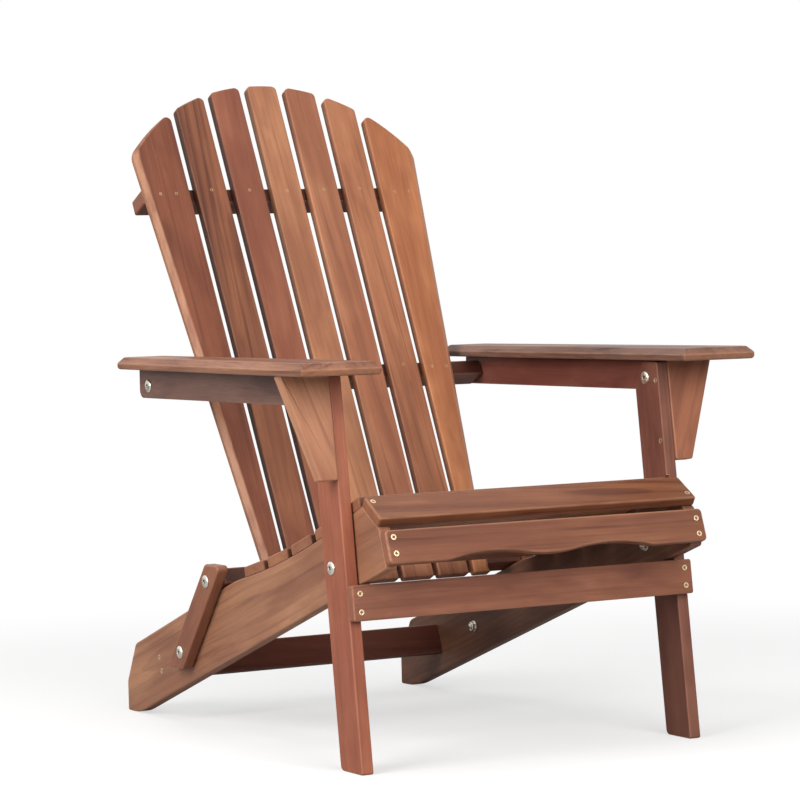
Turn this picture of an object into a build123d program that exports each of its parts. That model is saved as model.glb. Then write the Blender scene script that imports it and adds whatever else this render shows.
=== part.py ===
"""Folding slatted garden armchair in solid wood, modelled board by board.

Millimetres and degrees, +Z up. The chair faces -Y and is symmetric about X = 0. The origin is on the
floor, midway between the front of the apron and the rear end of the seat rails. Left and right are
as seen from the front: the right-hand pieces, at +X, are drawn, and mirror images make the left ones.
"""

import os
from math import atan2, cos, hypot, pi, radians, sin, sqrt, tan

from build123d import *

os.makedirs("parts", exist_ok=True)

# Boards and gaps across the chair, from the seat outwards
seat_width = 498.0
rail_thickness = 18.0
pivot_gap = 2.0
leg_thickness = 18.0
link_thickness = 18.0
arm_pivot_gap = 1.5
bar_thickness = 18.0

# Seat rails: boards that slope down to the floor behind, hollowed under the seat slats
seat_slope = 19.0
rail_depth = 102.0
rail_length = 843.0
rail_foot = 41.0
rail_tail_height = 45.0
rail_tail_start = 27.0
rail_tail_round = 14.0
rail_nose_round = 5.0
hollow_start = 400.0
hollow_end = 808.0
hollow_front_drop = 6.2
hollow_depth = 12.0

# Seat boards, placed along the rails
seat_slat_count = 5
seat_slat_width = 64.0
seat_slat_thickness = 15.0
seat_slat_first = 433.0
seat_slat_end_gap = 3.0
front_slat_width = 51.0
front_slat_tilt = 50.0
apron_height = 46.0
apron_thickness = 15.0
apron_drop = 3.0
apron_arch_reach = 160.0
apron_arch_peak = 92.0
apron_arch_rise = 8.5
apron_arch_round = 40.0
apron_corner_round = 6.0
rear_stretcher_height = 46.0
rear_stretcher_thickness = 15.0
rear_stretcher_place = 96.5
rear_stretcher_rise = 28.0

# Front legs, the stretcher on their front edges and the corbels under the arms
leg_rake = 7.0
leg_width = 60.0
leg_pivot_place = 732.0
leg_pivot_rise = 32.6
leg_pivot_inset = 38.7
leg_top_gap = 2.0
leg_top_behind_pivot = 8.0
leg_chamfer_below_pivot = 17.0
leg_corner_round = 8.0
front_stretcher_height = 48.0
front_stretcher_thickness = 15.0
stretcher_stop_gap = 0.5
corbel_height = 141.0
corbel_thickness = 15.0
corbel_top_width = 74.0
corbel_bottom_width = 27.0
corbel_top_gap = 0.4

# Arms: a flat board on a bar that carries the pivots
arm_underside = 528.0
arm_thickness = 18.0
arm_front_overhang = 119.0
arm_rear_overhang = 46.0
arm_front_width = 120.0
arm_rear_width = 81.0
arm_side_overhang = 68.5
arm_bevel = 9.0
bar_height = 43.0
bar_rear_overhang = 33.0
bar_rear_round = 12.0
bar_nose_gap = 5.0
arm_fold_angle = 73.0
arm_pivot_drop = 25.0
arm_pivot_inset = 31.5

# Back: seven fanned slats on three cross battens
back_lean = 25.8
inner_slat_count = 5
back_slat_width = 51.0
back_slat_thickness = 15.0
back_slat_gap = 11.0
fan_step = 0.39
fan_level = 334.0
back_height = 799.0
back_top_radius = 312.0
back_slat_foot = 31.0
outer_slat_foot_width = 28.4
outer_slat_flare = 4.9
back_corner_round = 8.0
back_shoulder_round = 28.0
batten_height = 24.0
batten_depth = 40.0
batten_round = 5.0
batten_rest_gap = 0.5
top_batten_drop = 185.0

# Rear links and the pivots at their two ends, placed along the rails
link_width = 38.0
link_end = 25.0
link_corner_round = 6.0
link_pivot_place = 222.0
link_pivot_rise = 42.0
back_pivot_place = 347.0

# Pivot hardware: button-headed bolts, and nuts on those that go through the rails
bolt_diameter = 8.0
bolt_running_gap = 0.05
bolt_head_diameter = 19.0
bolt_head_height = 3.0
bolt_head_taper = 50.0
bolt_head_play = 0.1
bolt_bite = 30.0
bolt_tail = 1.5
bar_bolt_bite = 14.0
nut_across_flats = 13.0
nut_height = 6.5

# Rounding along the arrises of the boards
board_round = 3.0
board_ease = 2.0

# Faces of the right-hand boards across the chair
rail_outer = seat_width / 2
rail_inner = rail_outer - rail_thickness
leg_inner = rail_outer + pivot_gap
leg_outer = leg_inner + leg_thickness
link_outer = leg_inner + link_thickness
bar_inner = leg_outer + arm_pivot_gap
bar_outer = bar_inner + bar_thickness
arm_outer = bar_outer + arm_side_overhang
arm_inner = arm_outer - arm_front_width

slope = radians(seat_slope)
rake = radians(leg_rake)
lean = radians(back_lean)
running_bore = bolt_diameter + 2 * bolt_running_gap

# The chair's depth runs from the apron's lower front edge to the rails' rear ends
front_reach = (rail_length + apron_thickness) * cos(slope) - apron_drop * sin(slope)
heel = (front_reach - rail_foot) / 2


def on_rail(along, height):
    """Side-view point: so far along a rail's lower edge from its heel, so high square to that edge."""
    return (
        heel - along * cos(slope) + height * sin(slope),
        along * sin(slope) + height * cos(slope),
    )


def hollow_height(along):
    """Height of a rail's upper edge in the seat hollow, which is one circular arc."""
    span = hollow_end - hollow_start
    radius = hypot(span, hollow_front_drop) ** 2 / (8 * hollow_depth) + hollow_depth / 2
    tilt = atan2(-hollow_front_drop, span)
    centre_along = (hollow_start + hollow_end) / 2 - (radius - hollow_depth) * sin(tilt)
    centre_height = rail_depth - hollow_front_drop / 2 + (radius - hollow_depth) * cos(tilt)
    return centre_height - sqrt(radius**2 - (along - centre_along) ** 2)


leg_pivot = on_rail(leg_pivot_place, leg_pivot_rise)
link_pivot = on_rail(link_pivot_place, link_pivot_rise)

# The lower batten's lowest rounded corner stands just clear of the rails
batten_drop = (
    (batten_depth / 2 - batten_round) * sin(lean - slope)
    + (batten_height / 2 - batten_round) * cos(lean - slope)
    + batten_round
)
back_pivot = on_rail(back_pivot_place, rail_depth + batten_drop + batten_rest_gap)


def on_leg(up, behind):
    """Side-view point: so far up a leg from the level of its pivot, so far behind its front edge."""
    inset = behind - leg_pivot_inset
    return (
        leg_pivot[0] + up * sin(rake) + inset * cos(rake),
        leg_pivot[1] + up * cos(rake) - inset * sin(rake),
    )


def leg_edge(level, behind):
    """Side-view point of a line along the leg, at a level above the floor."""
    start = on_leg(0, behind)
    return (start[0] + (level - start[1]) * tan(rake), level)


arm_pivot = leg_edge(arm_underside - arm_pivot_drop, arm_pivot_inset)


def on_back(up, behind):
    """Side-view point: so far up the back from its pivot, so far behind the rear face of its slats."""
    depth = behind - batten_depth / 2
    return (
        back_pivot[0] + up * sin(lean) + depth * cos(lean),
        back_pivot[1] + up * cos(lean) - depth * sin(lean),
    )


# The batten at arm level has its axis at the height of the arms' front pivots
arm_batten_place = (arm_pivot[1] - back_pivot[1]) / cos(lean)
rear_pivot = on_back(arm_batten_place, batten_depth / 2)


def cross_plane(point, angle):
    """Plane across the chair through a side-view point: Y leans back by the angle, Z faces forwards."""
    return Plane(origin=(0, *point), x_dir=(1, 0, 0), z_dir=(0, -cos(angle), sin(angle)))


def ease_board(board, plane):
    """Bevel the arrises around a board's two broad faces, which are parallel to the plane."""
    chamfer(board.faces().filter_by(plane).edges(), board_ease)


def bore(point, face, depth, diameter=running_bore):
    """Drill a round hole into the board being built, from a face towards +X."""
    with BuildSketch(Plane.YZ.offset(face)) as hole:
        with Locations(point):
            Circle(diameter / 2)
    extrude(hole.sketch, amount=depth, mode=Mode.SUBTRACT)


def save(builder, name):
    """Label a finished piece and write it out."""
    builder.part.label = name
    export_step(builder.part, f"parts/{name}.step")


def save_pair(builder, name):
    """Write a right-hand piece and its mirror image, the left-hand one."""
    save(builder, f"{name}_right")
    with BuildPart() as twin:
        mirror(builder.part, about=Plane.YZ)
    save(twin, f"{name}_left")


def save_both(builder, name):
    """Write a right-hand piece and its mirror image together, as one group of loose pieces."""
    with BuildPart() as group:
        add(builder.part)
        mirror(builder.part, about=Plane.YZ)
    save(group, name)


# Seat rails
nose_top = rail_depth - hollow_front_drop - (rail_length - hollow_end) * tan(radians(front_slat_tilt))
hollow_middle = (hollow_start + hollow_end) / 2
hollow_rear_top = (hollow_start, rail_depth)
hollow_front_top = (hollow_end, rail_depth - hollow_front_drop)
tail_foot = (-rail_foot * cos(slope), rail_foot * sin(slope))
tail_top = (
    tail_foot[0] + rail_tail_height * sin(slope),
    tail_foot[1] + rail_tail_height * cos(slope),
)
rail_plane = Plane(
    origin=(rail_outer, heel, 0),
    x_dir=(0, -cos(slope), sin(slope)),
    z_dir=(-1, 0, 0),
)
with BuildPart() as seat_rail:
    with BuildSketch(rail_plane):
        with BuildLine():
            FilletPolyline(
                hollow_rear_top,
                (rail_tail_start, rail_depth),
                tail_top,
                tail_foot,
                (0, 0),
                (rail_length, 0),
                (rail_length, nose_top),
                hollow_front_top,
                radius=(rail_tail_round, rail_tail_round, 0, 0, rail_nose_round, 0),
            )
            ThreePointArc(
                hollow_front_top,
                (hollow_middle, hollow_height(hollow_middle)),
                hollow_rear_top,
            )
        make_face()
    extrude(amount=rail_thickness)
    ease_board(seat_rail, Plane.YZ)
    bore(leg_pivot, rail_inner, rail_thickness, bolt_diameter)
    bore(link_pivot, rail_inner, rail_thickness, bolt_diameter)
save_pair(seat_rail, "seat_rail")

# Seat slats, from the back forwards, each bedded on the hollow along the flat of its underside
seat_slat_run = hollow_end - seat_slat_end_gap - seat_slat_first
seat_slat_pitch = (seat_slat_run - seat_slat_width) / (seat_slat_count - 1)
for number in range(seat_slat_count):
    middle = seat_slat_first + seat_slat_width / 2 + number * seat_slat_pitch
    flat_half = seat_slat_width / 2 - board_ease
    rear_height = hollow_height(middle - flat_half)
    front_height = hollow_height(middle + flat_half)
    bed_tilt = atan2(front_height - rear_height, 2 * flat_half)
    bed = cross_plane(on_rail(middle, (rear_height + front_height) / 2), slope + bed_tilt + pi / 2)
    with BuildPart() as seat_slat:
        with BuildSketch(bed):
            Rectangle(seat_width, seat_slat_width)
        extrude(amount=seat_slat_thickness)
        ease_board(seat_slat, bed)
    save(seat_slat, f"seat_slat_{number + 1}")

# Front slat, on the sloping noses of the rails
nose_plane = cross_plane(on_rail(*hollow_front_top), slope - radians(front_slat_tilt) + pi / 2)
with BuildPart() as front_slat:
    with BuildSketch(nose_plane):
        Rectangle(seat_width, front_slat_width, align=(Align.CENTER, Align.MAX))
    extrude(amount=seat_slat_thickness)
    ease_board(front_slat, nose_plane)
save(front_slat, "front_slat")

# Apron across the front ends of the rails, its lower edge scalloped in two arches that meet in a round drop
flank_radius = ((apron_arch_reach - apron_arch_peak) ** 2 + apron_arch_rise**2) / (2 * apron_arch_rise)
drop_radius = (apron_arch_peak**2 + apron_arch_rise**2) / (2 * apron_arch_rise) - flank_radius
drop_share = drop_radius / (drop_radius + flank_radius)
drop_join = (
    apron_arch_peak * drop_share,
    drop_radius + (apron_arch_rise - flank_radius - drop_radius) * drop_share,
)
apron_plane = cross_plane(on_rail(rail_length, apron_drop), slope)
with BuildPart() as apron:
    with BuildSketch(apron_plane) as apron_outline:
        with BuildLine():
            Polyline(
                (-apron_arch_reach, 0),
                (-rail_outer, 0),
                (-rail_outer, apron_height),
                (rail_outer, apron_height),
                (rail_outer, 0),
                (apron_arch_reach, 0),
            )
            ThreePointArc((apron_arch_reach, 0), (apron_arch_peak, apron_arch_rise), drop_join)
            ThreePointArc(drop_join, (0, 0), (-drop_join[0], drop_join[1]))
            ThreePointArc(
                (-drop_join[0], drop_join[1]),
                (-apron_arch_peak, apron_arch_rise),
                (-apron_arch_reach, 0),
            )
        make_face()
        arch_ends = apron_outline.vertices().group_by(Axis.X)
        fillet(arch_ends[1] + arch_ends[-2], apron_arch_round)
        board_ends = apron_outline.vertices().group_by(Axis.X)
        fillet(board_ends[0] + board_ends[-1], apron_corner_round)
    extrude(amount=apron_thickness)
    chamfer(apron.faces().filter_by(apron_plane).sort_by(Axis.Y)[0].edges(), board_ease)
save(apron, "apron")

# Rear stretcher between the rails
rear_stretcher_plane = cross_plane(on_rail(rear_stretcher_place, rear_stretcher_rise), slope)
with BuildPart() as rear_stretcher:
    with BuildSketch(rear_stretcher_plane):
        Rectangle(2 * rail_inner, rear_stretcher_height, align=(Align.CENTER, Align.MIN))
    extrude(amount=rear_stretcher_thickness)
    long_edges = rear_stretcher.edges().filter_by(Axis.X)
    fillet(long_edges, board_round)
save(rear_stretcher, "rear_stretcher")

# Front legs, chamfered behind the top so that they swing under the arms
leg_top = arm_underside - leg_top_gap
with BuildPart() as leg:
    with BuildSketch(Plane.YZ.offset(leg_inner)):
        with BuildLine():
            FilletPolyline(
                leg_edge(0, 0),
                leg_edge(0, leg_width),
                leg_edge(arm_pivot[1] - leg_chamfer_below_pivot, leg_width),
                (arm_pivot[0] + leg_top_behind_pivot, leg_top),
                leg_edge(leg_top, 0),
                radius=(0, leg_corner_round, leg_corner_round, 0, 0),
                close=True,
            )
        make_face()
    extrude(amount=leg_thickness)
    ease_board(leg, Plane.YZ)
    bore(leg_pivot, leg_inner, leg_thickness)
    bore(arm_pivot, leg_inner, leg_thickness, bolt_diameter)
save_pair(leg, "front_leg")

# Front stretcher, which stops under the rails when the chair is open
front_edge = on_leg(0, 0)
stop_height = (front_edge[0] - heel) * sin(slope) + front_edge[1] * cos(slope)
stretcher_top = -(stop_height + stretcher_stop_gap) / cos(slope - rake)
stretcher_plane = cross_plane(on_leg(stretcher_top, 0), rake)
with BuildPart() as front_stretcher:
    with BuildSketch(stretcher_plane):
        Rectangle(2 * leg_outer, front_stretcher_height, align=(Align.CENTER, Align.MAX))
    extrude(amount=front_stretcher_thickness)
    ease_board(front_stretcher, stretcher_plane)
save(front_stretcher, "front_stretcher")

# Corbels on the outer faces of the legs, cut level under the arms
corbel_plane = cross_plane(leg_edge(arm_underside - corbel_top_gap, 0), rake)
corbel_rise = corbel_thickness * tan(rake) / cos(rake)
with BuildPart() as corbel:
    with BuildSketch(corbel_plane):
        Polygon(
            (leg_outer, corbel_rise),
            (leg_outer, -corbel_height),
            (leg_outer + corbel_bottom_width, -corbel_height),
            (leg_outer + corbel_top_width, 0),
            (leg_outer + corbel_top_width, corbel_rise),
        )
    extrude(amount=-corbel_thickness)
    split(bisect_by=Plane.XY.offset(arm_underside - corbel_top_gap), keep=Keep.BOTTOM)
    fillet(corbel.edges().filter_by(corbel_plane).sort_by(Axis.X)[-2:], board_round)
save_pair(corbel, "corbel")

# Arm bars, their noses rounded about the front pivots so that the corbels swing past
nose_radius = arm_pivot_inset - corbel_thickness - bar_nose_gap
swing = radians(arm_fold_angle)


def on_nose(turn, reach):
    """Side-view point at a reach from the front pivot, turned down from square to the leg's front."""
    return (
        arm_pivot[0] - reach * cos(rake - turn),
        arm_pivot[1] + reach * sin(rake - turn),
    )


bar_bottom = arm_underside - bar_height
nose_end = on_nose(swing, nose_radius)
bar_rear = rear_pivot[0] + bar_rear_overhang
with BuildPart() as arm_bar:
    with BuildSketch(Plane.YZ.offset(bar_inner)):
        with BuildLine():
            ThreePointArc(on_nose(0, nose_radius), on_nose(swing / 2, nose_radius), nose_end)
            FilletPolyline(
                nose_end,
                (nose_end[0] + (nose_end[1] - bar_bottom) * tan(swing - rake), bar_bottom),
                (bar_rear, bar_bottom),
                (bar_rear, arm_underside),
                leg_edge(arm_underside, arm_pivot_inset - nose_radius),
                on_nose(0, nose_radius),
                radius=(0, bar_rear_round, 0, 0),
            )
        make_face()
    extrude(amount=bar_thickness)
    lower_edges = arm_bar.edges().filter_by(Plane.YZ).filter_by_position(Axis.Z, 0, arm_pivot[1])
    chamfer(lower_edges, board_ease)
    bore(arm_pivot, bar_inner, bar_bolt_bite)
    bore(rear_pivot, bar_inner, bar_thickness)
save_pair(arm_bar, "arm_bar")

# Arms, straight inside and tapered outside, with a broad bevel round the top
arm_front = arm_pivot[0] - arm_front_overhang
arm_rear = rear_pivot[0] + arm_rear_overhang
with BuildPart() as arm:
    with BuildSketch(Plane.XY.offset(arm_underside)):
        Polygon(
            (arm_inner, arm_front),
            (arm_outer, arm_front),
            (arm_inner + arm_rear_width, arm_rear),
            (arm_inner, arm_rear),
        )
    extrude(amount=arm_thickness)
    rims = arm.faces().filter_by(Plane.XY).sort_by(Axis.Z)
    chamfer(rims[-1].edges(), arm_bevel)
    chamfer(rims[0].edges(), board_ease)
save_pair(arm, "arm")

# Rear links, cut level at both ends
link_run = (back_pivot[0] - link_pivot[0]) / (back_pivot[1] - link_pivot[1])
link_half = link_width / 2 * hypot(link_run, 1)


def link_corner(pivot, beyond, side):
    """Side-view corner of a link, at a height beyond one of its pivots."""
    return (pivot[0] + beyond * link_run + side * link_half, pivot[1] + beyond)


with BuildPart() as link:
    with BuildSketch(Plane.YZ.offset(leg_inner)):
        with BuildLine():
            FilletPolyline(
                link_corner(link_pivot, -link_end, -1),
                link_corner(link_pivot, -link_end, 1),
                link_corner(back_pivot, link_end, 1),
                link_corner(back_pivot, link_end, -1),
                radius=link_corner_round,
                close=True,
            )
        make_face()
    extrude(amount=link_thickness)
    chamfer(link.faces().sort_by(Axis.X)[-1].edges(), board_ease)
    bore(link_pivot, leg_inner, link_thickness)
    bore(back_pivot, leg_inner, link_thickness)
save_pair(link, "rear_link")

# Back slats, fanned out upwards and cut to one round top
back_plane = cross_plane(on_back(0, 0), lean)
top_centre = back_height - back_top_radius
slat_pitch = back_slat_width + back_slat_gap
slat_reach = (inner_slat_count * slat_pitch + back_slat_gap) / 2
outer_step = inner_slat_count / 2


def fanned(reach, steps, up):
    """Point on a line of the fan, which passes a reach off the middle at the level of even gaps."""
    return (reach + (up - fan_level) * tan(radians(steps * fan_step)), up)


def flared(up):
    """Point on the outer edge of the outermost slat."""
    foot_reach = fanned(slat_reach, outer_step, -back_slat_foot)[0] + outer_slat_foot_width
    return (foot_reach + (up + back_slat_foot) * tan(radians(outer_slat_flare)), up)


def cut_back_slat(corners, low_round, name):
    """Make a slat from its four corners, cut to the round top, with the lower corner there rounded off."""
    with BuildPart() as slat:
        with BuildSketch(back_plane) as outline:
            Polygon(*corners)
            with BuildLine():
                Polyline(
                    (-back_top_radius, top_centre),
                    (-back_top_radius, -back_slat_foot),
                    (back_top_radius, -back_slat_foot),
                    (back_top_radius, top_centre),
                )
                ThreePointArc(
                    (back_top_radius, top_centre),
                    (0, back_height),
                    (-back_top_radius, top_centre),
                )
            make_face(mode=Mode.INTERSECT)
            low_corner, high_corner = outline.vertices().sort_by(Axis.Y)[-2:]
            fillet(low_corner, low_round)
            fillet(outline.vertices().sort_by_distance(high_corner)[0], back_corner_round)
        extrude(amount=back_slat_thickness)
        ease_board(slat, back_plane)
    save(slat, name)


for number in range(inner_slat_count):
    step = number - (inner_slat_count - 1) / 2
    left_side = step * slat_pitch - back_slat_width / 2
    right_side = step * slat_pitch + back_slat_width / 2
    cut_back_slat(
        (
            fanned(left_side, step, -back_slat_foot),
            fanned(right_side, step, -back_slat_foot),
            fanned(right_side, step, back_height),
            fanned(left_side, step, back_height),
        ),
        back_corner_round,
        f"back_slat_{number + 2}",
    )

for side, name in ((-1, "back_slat_1"), (1, f"back_slat_{inner_slat_count + 2}")):
    outer_corners = (
        fanned(slat_reach, outer_step, -back_slat_foot),
        flared(-back_slat_foot),
        flared(back_height),
        fanned(slat_reach, outer_step, back_height),
    )
    cut_back_slat([(side * across, up) for across, up in outer_corners], back_shoulder_round, name)

# Lower batten between the links, tapped at its ends for the back's pivot bolts
batten_bore_start = rail_outer - (bolt_bite + bolt_tail)
with BuildPart() as lower_batten:
    with BuildSketch(back_plane):
        Rectangle(2 * rail_outer, batten_height)
    extrude(amount=-batten_depth)
    fillet(lower_batten.edges().filter_by(Axis.X), batten_round)
    for end in (batten_bore_start, -rail_outer):
        bore(back_pivot, end, bolt_bite + bolt_tail, bolt_diameter)
save(lower_batten, "lower_batten")

# Batten at arm level, tapped at its ends for the arms' rear pivot bolts
arm_batten_half = bar_inner - pivot_gap
with BuildPart() as arm_batten:
    with BuildSketch(back_plane):
        with Locations((0, arm_batten_place)):
            Rectangle(2 * arm_batten_half, batten_height)
    extrude(amount=-batten_depth)
    fillet(arm_batten.edges().filter_by(Axis.X), batten_round)
    for end in (arm_batten_half - bolt_bite - bolt_tail, -arm_batten_half):
        bore(rear_pivot, end, bolt_bite + bolt_tail, bolt_diameter)
save(arm_batten, "arm_batten")

# Top batten, its ends flush with the outer edges of the outermost slats
top_batten_place = back_height - top_batten_drop
with BuildPart() as top_batten:
    with BuildSketch(back_plane):
        with Locations((0, top_batten_place)):
            Rectangle(2 * flared(top_batten_place)[0], batten_height)
    extrude(amount=-batten_depth)
    fillet(top_batten.edges().filter_by(Axis.X), batten_round)
save(top_batten, "top_batten")


def make_bolt(point, face, length, outward=1):
    """Make a button-headed bolt: its head stands outward on a face, its shank goes in."""
    seat = Plane(origin=(face, *point), x_dir=(0, 1, 0), z_dir=(outward, 0, 0))
    with BuildPart() as bolt:
        with BuildSketch(seat):
            Circle(bolt_head_diameter / 2)
        extrude(amount=bolt_head_height, taper=bolt_head_taper)
        with BuildSketch(seat):
            Circle(bolt_diameter / 2)
        extrude(amount=-length)
    return bolt


# Pivot bolts of the legs, the links and the back, one each side
through_bolt = bolt_head_play + leg_outer - rail_inner + nut_height + bolt_tail
save_both(make_bolt(leg_pivot, leg_outer + bolt_head_play, through_bolt), "leg_pivot_bolts")
save_both(make_bolt(link_pivot, link_outer + bolt_head_play, through_bolt), "link_pivot_bolts")
batten_bolt = bolt_head_play + link_outer - rail_outer + bolt_bite
save_both(make_bolt(back_pivot, link_outer + bolt_head_play, batten_bolt), "back_pivot_bolts")

# Pivot bolts of the arms: the rear ones go into the batten, the front ones stop short of the bars,
# because the linkage is left open there
rear_bolt = bolt_head_play + bar_outer - arm_batten_half + bolt_bite
save_both(make_bolt(rear_pivot, bar_outer + bolt_head_play, rear_bolt), "arm_rear_bolts")
save_both(make_bolt(arm_pivot, leg_inner, leg_thickness, -1), "arm_front_bolts")

# Nuts inside the rails, on the bolts of the legs and the links
with BuildPart() as nuts:
    with BuildSketch(Plane.YZ.offset(rail_inner)):
        with Locations(leg_pivot, link_pivot):
            RegularPolygon(nut_across_flats / 2, 6, major_radius=False)
            Circle(bolt_diameter / 2, mode=Mode.SUBTRACT)
    extrude(amount=-nut_height)
save_both(nuts, "pivot_nuts")
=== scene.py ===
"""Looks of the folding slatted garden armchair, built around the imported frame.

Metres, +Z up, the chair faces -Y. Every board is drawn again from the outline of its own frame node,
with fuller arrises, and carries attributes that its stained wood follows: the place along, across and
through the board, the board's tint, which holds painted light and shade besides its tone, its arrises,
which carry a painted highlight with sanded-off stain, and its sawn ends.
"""

import logging
import math
from dataclasses import dataclass, field, replace
from enum import Enum
from typing import NamedTuple

import bpy
import numpy as np
from mathutils import Matrix, Vector


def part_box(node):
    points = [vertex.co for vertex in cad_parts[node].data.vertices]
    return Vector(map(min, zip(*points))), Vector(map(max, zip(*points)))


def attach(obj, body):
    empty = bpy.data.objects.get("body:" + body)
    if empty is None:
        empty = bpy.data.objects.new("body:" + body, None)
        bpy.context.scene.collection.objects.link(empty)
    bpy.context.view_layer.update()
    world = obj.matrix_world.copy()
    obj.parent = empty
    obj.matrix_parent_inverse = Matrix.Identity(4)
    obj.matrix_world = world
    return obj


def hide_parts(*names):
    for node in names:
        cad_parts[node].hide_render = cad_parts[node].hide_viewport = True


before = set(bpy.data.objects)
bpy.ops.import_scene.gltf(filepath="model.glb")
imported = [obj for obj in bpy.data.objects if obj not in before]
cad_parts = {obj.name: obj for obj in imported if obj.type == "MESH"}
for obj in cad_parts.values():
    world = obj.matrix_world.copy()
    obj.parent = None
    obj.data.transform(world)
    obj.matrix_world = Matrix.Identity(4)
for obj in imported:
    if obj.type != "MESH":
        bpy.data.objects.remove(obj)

Array = np.ndarray
Colour = tuple[float, float, float]
Triple = tuple[float, float, float]
Screws = list[tuple[Array, Array]]  # Places and outward directions
MM = 0.001
SEED = 29
UPPER_WAY = (0.1, -0.4, 1.0)  # A board's upper face looks up, or else forwards
LOG_REACH = ((-5.0, 5.0), (-0.03, 0.03), (0.035, 0.1))  # Where boards are cut from the log, off its pith
TINY = 1e-12
TINY_AREA = 1e-15
LEAST_WEIGHT = 1e-6
SIDES = (-1.0, 1.0)
log = logging.getLogger("armchair")


class Lay(Enum):
    """Which of a board's faces its outline is drawn on, by how much surface looks that way."""

    FLAT = 1
    EDGE = 2


class Arris(Enum):
    """How the edge of a board is worked."""

    ROUNDED = "rounded"
    BEVELLED_TOP = "bevelled_top"
    BEVELLED_SIDE = "bevelled_side"


class Plate(Enum):
    """Kinds of plated metal."""

    BOLT = "pivot_plating"
    SCREW = "screw_plating"
    DULL = "dull_plating"


class Slot(Enum):
    """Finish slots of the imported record."""

    FRAME = "frame_wood"
    SEAT = "seat_slat_wood"
    BACK = "back_slat_wood"
    ARM = "arm_wood"
    METAL = "pivot_metal"


class Body(Enum):
    """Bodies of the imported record."""

    SEAT = "seat_frame"
    LEGS = "front_legs"
    LEFT_LINK = "left_link"
    RIGHT_LINK = "right_link"
    BACK = "backrest"
    LEFT_ARM = "left_arm"
    RIGHT_ARM = "right_arm"


class Graph:
    """A node tree with short ways to add and join nodes."""

    def __init__(self, tree: bpy.types.NodeTree) -> None:
        """Keep the tree that nodes are added to."""
        self.tree = tree

    def node(self, kind: str, *values: object, **settings: object) -> bpy.types.Node:
        """Add a node, set its own properties and feed its first inputs.

        Args:
            kind: Blender's name of the node type.
            values: what its inputs are fed with, in order.
            settings: properties of the node, by name.

        Returns:
            The new node.
        """
        made = self.tree.nodes.new(kind)
        for name, value in settings.items():
            setattr(made, name, value)
        return self.fill(made, dict(enumerate(values)))

    def fill(self, made: bpy.types.Node, values: dict[int | str, object]) -> bpy.types.Node:
        """Feed a node's inputs.

        Args:
            made: the node.
            values: output sockets, numbers or tuples, by the inputs' names or numbers.

        Returns:
            The same node.
        """
        for label, value in values.items():
            self.feed(made.inputs[label], value)
        return made

    def feed(self, socket: bpy.types.NodeSocket, value: object) -> None:
        """Link a socket to another, or set its value.

        Args:
            socket: the input that is fed.
            value: an output socket, a number or a tuple.
        """
        if isinstance(value, bpy.types.NodeSocket):
            self.tree.links.new(value, socket)
        else:
            socket.default_value = value

    def math(self, operation: str, *values: object, clamp: bool = False) -> bpy.types.NodeSocket:
        """Add a math node.

        Args:
            operation: Blender's name of the sum.
            values: its one to three inputs.
            clamp: whether the result is kept from 0 to 1.

        Returns:
            The result's socket.
        """
        return self.node("ShaderNodeMath", *values, operation=operation, use_clamp=clamp).outputs[0]

    def vector(self, operation: str, *values: object) -> bpy.types.NodeSocket:
        """Add a vector math node and return its vector."""
        return self.node("ShaderNodeVectorMath", *values, operation=operation).outputs[0]

    def length(self, place: object) -> bpy.types.NodeSocket:
        """Length of a vector."""
        return self.node("ShaderNodeVectorMath", place, operation="LENGTH").outputs["Value"]

    def span(self, value: object, low: float, high: float, to_low: float = 0.0, to_high: float = 1.0
             ) -> bpy.types.NodeSocket:
        """Ease a value from one range into another, flat beyond both ends.

        Args:
            value: the number to map.
            low: where the easing starts.
            high: where it ends.
            to_low: the result at the start.
            to_high: the result at the end.

        Returns:
            The result's socket.
        """
        ends = (low, high, to_low, to_high)
        return self.node("ShaderNodeMapRange", value, *ends, interpolation_type="SMOOTHSTEP").outputs[0]

    def mix(self, share: object, first: object, second: object) -> bpy.types.NodeSocket:
        """Mix two colours.

        Args:
            share: how much of the second.
            first: colour at share 0.
            second: colour at share 1.

        Returns:
            The mixed colour's socket.
        """
        made = self.node("ShaderNodeMix", data_type="RGBA")
        # The node's colour sockets come after those for numbers and vectors
        return self.fill(made, {0: share, 6: first, 7: second}).outputs[2]

    def noise(self, place: object, stretch: Triple, detail: float = 2.0, rough: float = 0.5
              ) -> bpy.types.Node:
        """Add noise on a place that is first scaled along its three directions.

        Args:
            place: vector in metres.
            stretch: how many features come in a metre, along, across and through.
            detail: number of finer layers.
            rough: how strong the finer layers are.

        Returns:
            The noise node.
        """
        return self.fill(self.node("ShaderNodeTexNoise"), {
            "Vector": self.vector("MULTIPLY", place, stretch), "Scale": 1.0,
            "Detail": detail, "Roughness": rough,
        })

    def attribute(self, name: str, output: str) -> bpy.types.NodeSocket:
        """Read an attribute of the piece."""
        return self.node("ShaderNodeAttribute", attribute_name=name).outputs[output]


def rgba(colour: Colour) -> tuple[float, float, float, float]:
    """A colour with full alpha."""
    return (*colour, 1.0)


def shader_group(name: str, inputs: dict[str, str], outputs: dict[str, str]
                 ) -> tuple[Graph, bpy.types.NodeOutputs, bpy.types.NodeInputs]:
    """Start a shader node group with named sockets.

    Args:
        name: the group's name.
        inputs: socket types by input name.
        outputs: socket types by output name.

    Returns:
        The group's graph, the sockets that give its inputs and those that take its outputs.
    """
    graph = Graph(bpy.data.node_groups.new(name, "ShaderNodeTree"))
    for way, sockets in (("INPUT", inputs), ("OUTPUT", outputs)):
        for label, kind in sockets.items():
            graph.tree.interface.new_socket(label, in_out=way, socket_type=kind)
    return graph, graph.node("NodeGroupInput").outputs, graph.node("NodeGroupOutput").inputs


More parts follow.
